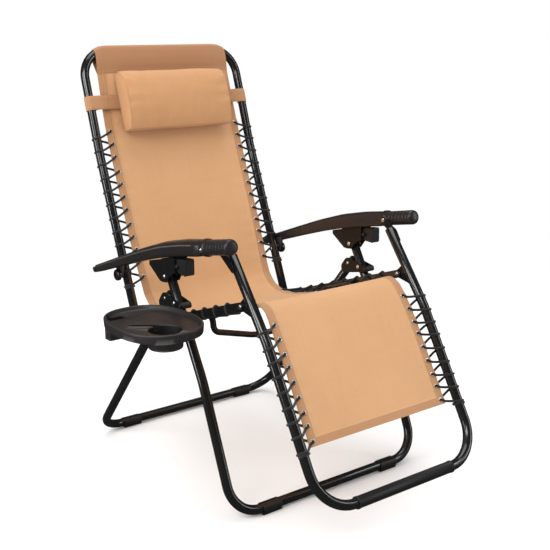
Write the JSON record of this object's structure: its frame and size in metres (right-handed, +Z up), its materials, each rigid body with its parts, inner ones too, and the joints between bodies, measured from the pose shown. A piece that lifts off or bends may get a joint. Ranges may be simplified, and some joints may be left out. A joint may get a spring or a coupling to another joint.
{
  "type": "zero gravity recliner",
  "caption": "Folding tubular steel recliner with a laced fabric sling, head pillow, sculpted armrests, recline locks and a clip-on side tray.",
  "frame": {"origin": "on the floor, under the middle of the chair's overall box, side tray included; the chair's own centre plane is at X = 0.0978 m", "axes": "+X towards the sitter's left, -Y towards the front (feet), +Z up"},
  "size_m": [0.8344, 1.0718, 1.1006],
  "materials": {
    "frame_paint": "black powder coat, glossy",
    "zinc_hardware": "zinc plated",
    "black_plastic": "moulded, satin",
    "tray_plastic": "moulded, fine texture",
    "sling_fabric": "woven mesh",
    "pillow_fabric": "woven, padded",
    "bungee_cord": "braided elastic"
  },
  "bodies": {
    "front_legs": {"front_leg_frame": "frame_paint", "front_foot_pad_left": "black_plastic", "front_foot_pad_right": "black_plastic"},
    "rear_legs": {"rear_leg_frame": "frame_paint", "rear_foot_pad_left": "black_plastic", "rear_foot_pad_right": "black_plastic", "scissor_bracket_left": "frame_paint", "scissor_bracket_right": "frame_paint", "scissor_rivet_left": "zinc_hardware", "scissor_rivet_right": "zinc_hardware", "rear_leg_rivet_left": "zinc_hardware", "rear_leg_rivet_right": "zinc_hardware", "fold_stop_left": "black_plastic", "fold_stop_right": "black_plastic"},
    "seat_bolts": {"seat_bolt_left": "zinc_hardware", "seat_bolt_right": "zinc_hardware", "seat_spacer_left": "black_plastic", "seat_spacer_right": "black_plastic", "seat_cross_bar": "frame_paint"},
    "seat": {"seat_rail_left": "frame_paint", "seat_rail_right": "frame_paint", "seat_sling": "sling_fabric"},
    "back_bolts": {"back_bolt_left": "zinc_hardware", "back_bolt_right": "zinc_hardware", "sling_fold_back": "sling_fabric"},
    "back": {"back_frame": "frame_paint", "back_gusset_left": "frame_paint", "back_gusset_right": "frame_paint", "back_cord_left": "bungee_cord", "back_cord_right": "bungee_cord", "back_sling": "sling_fabric"},
    "arm_bolts": {"arm_rear_bolt_left": "zinc_hardware", "arm_rear_bolt_right": "zinc_hardware"},
    "arms": {"armrest_left": "black_plastic", "armrest_right": "black_plastic"},
    "rest_bolts": {"leg_rest_bolt_left": "zinc_hardware", "leg_rest_bolt_right": "zinc_hardware", "sling_fold_knee": "sling_fabric"},
    "rest": {"leg_rest_frame": "frame_paint", "foot_bar_sleeve": "black_plastic", "leg_rest_sling": "sling_fabric", "leg_rest_gusset_left": "frame_paint", "leg_rest_gusset_right": "frame_paint", "leg_rest_ear_left": "frame_paint", "leg_rest_ear_right": "frame_paint", "arm_front_pin_left": "zinc_hardware", "arm_front_pin_right": "zinc_hardware", "leg_rest_cord_left": "bungee_cord", "leg_rest_cord_right": "bungee_cord"},
    "lock_bolts": {"lock_bolt_left": "zinc_hardware", "lock_bolt_right": "zinc_hardware"},
    "locks": {"lock_bracket_left": "frame_paint", "lock_bracket_right": "frame_paint"},
    "lever_left": {"lock_lever_left": "black_plastic"},
    "lever_right": {"lock_lever_right": "black_plastic"},
    "pillow": {"pillow": "pillow_fabric", "pillow_strap_left": "pillow_fabric", "pillow_strap_right": "pillow_fabric"},
    "tray": {"tray": "tray_plastic", "tray_clip": "tray_plastic"}
  },
  "joints": [
    {"name": "fold", "type": "hinge", "parent": "front_legs", "child": "rear_legs", "pos_m": [0.0978, -0.0342, 0.497], "axis": [1, 0, 0], "range_deg": [-66, 0]},
    {"name": "seat_fold", "type": "hinge", "parent": "rear_legs", "child": "seat_bolts", "pos_m": [0.0978, 0.0784, 0.4197], "axis": [-1, 0, 0], "range_deg": [0, 21.65]},
    {"name": "recline", "type": "hinge", "parent": "seat_bolts", "child": "seat", "pos_m": [0.0978, 0.0784, 0.4197], "axis": [-1, 0, 0], "range_deg": [0, 20]},
    {"name": "back_fold", "type": "hinge", "parent": "seat", "child": "back_bolts", "pos_m": [0.0978, 0.2358, 0.3676], "axis": [-1, 0, 0], "range_deg": [-86.05, 0]},
    {"name": "back_recline", "type": "hinge", "parent": "back_bolts", "child": "back", "pos_m": [0.0978, 0.2358, 0.3676], "axis": [-1, 0, 0], "range_deg": [0, 28.05]},
    {"name": "arm_fold", "type": "hinge", "parent": "back", "child": "arm_bolts", "pos_m": [0.0978, 0.3118, 0.4956], "axis": [-1, 0, 0], "range_deg": [0, 86.05]},
    {"name": "arm_recline", "type": "hinge", "parent": "arm_bolts", "child": "arms", "pos_m": [0.0978, 0.3118, 0.4956], "axis": [-1, 0, 0], "range_deg": [-28.05, 0]},
    {"name": "rest_fold", "type": "hinge", "parent": "seat", "child": "rest_bolts", "pos_m": [0.0978, -0.2308, 0.522], "axis": [-1, 0, 0], "range_deg": [-86.05, 0]},
    {"name": "rest_recline", "type": "hinge", "parent": "rest_bolts", "child": "rest", "pos_m": [0.0978, -0.2308, 0.522], "axis": [-1, 0, 0], "range_deg": [0, 28.05]},
    {"name": "lock_fold", "type": "hinge", "parent": "front_legs", "child": "lock_bolts", "pos_m": [0.0978, -0.0001, 0.558], "axis": [-1, 0, 0], "range_deg": [0, 87.65]},
    {"name": "lock_recline", "type": "hinge", "parent": "lock_bolts", "child": "locks", "pos_m": [0.0978, -0.0001, 0.558], "axis": [-1, 0, 0], "range_deg": [0, 15.65]},
    {"name": "lock_lever_left_turn", "type": "hinge", "parent": "locks", "child": "lever_left", "pos_m": [0.3958, -0.0578, 0.5935], "axis": [1, 0, 0], "range_deg": [0, 22]},
    {"name": "lock_lever_right_turn", "type": "hinge", "parent": "locks", "child": "lever_right", "pos_m": [-0.2002, -0.0578, 0.5935], "axis": [1, 0, 0], "range_deg": [0, 22]},
    {"name": "pillow_slide", "type": "slide", "parent": "back", "child": "pillow", "axis": [0, -0.301, -0.9536], "range_m": [-0.02, 0.1]},
    {"name": "tray_lift", "type": "slide", "parent": "front_legs", "child": "tray", "axis": [-1, 0, 0], "range_m": [0, 0.05]}
  ],
  "couplings": [
    {"joint": "seat_fold", "follows": "fold", "ratio": -0.3273},
    {"joint": "back_fold", "follows": "fold", "ratio": 1.303},
    {"joint": "arm_fold", "follows": "fold", "ratio": -1.303},
    {"joint": "rest_fold", "follows": "fold", "ratio": 1.303},
    {"joint": "lock_fold", "follows": "fold", "ratio": -1.3273},
    {"joint": "back_recline", "follows": "recline", "ratio": 1.4},
    {"joint": "arm_recline", "follows": "recline", "ratio": -1.4},
    {"joint": "rest_recline", "follows": "recline", "ratio": 1.4},
    {"joint": "lock_recline", "follows": "recline", "ratio": 0.78}
  ]
}
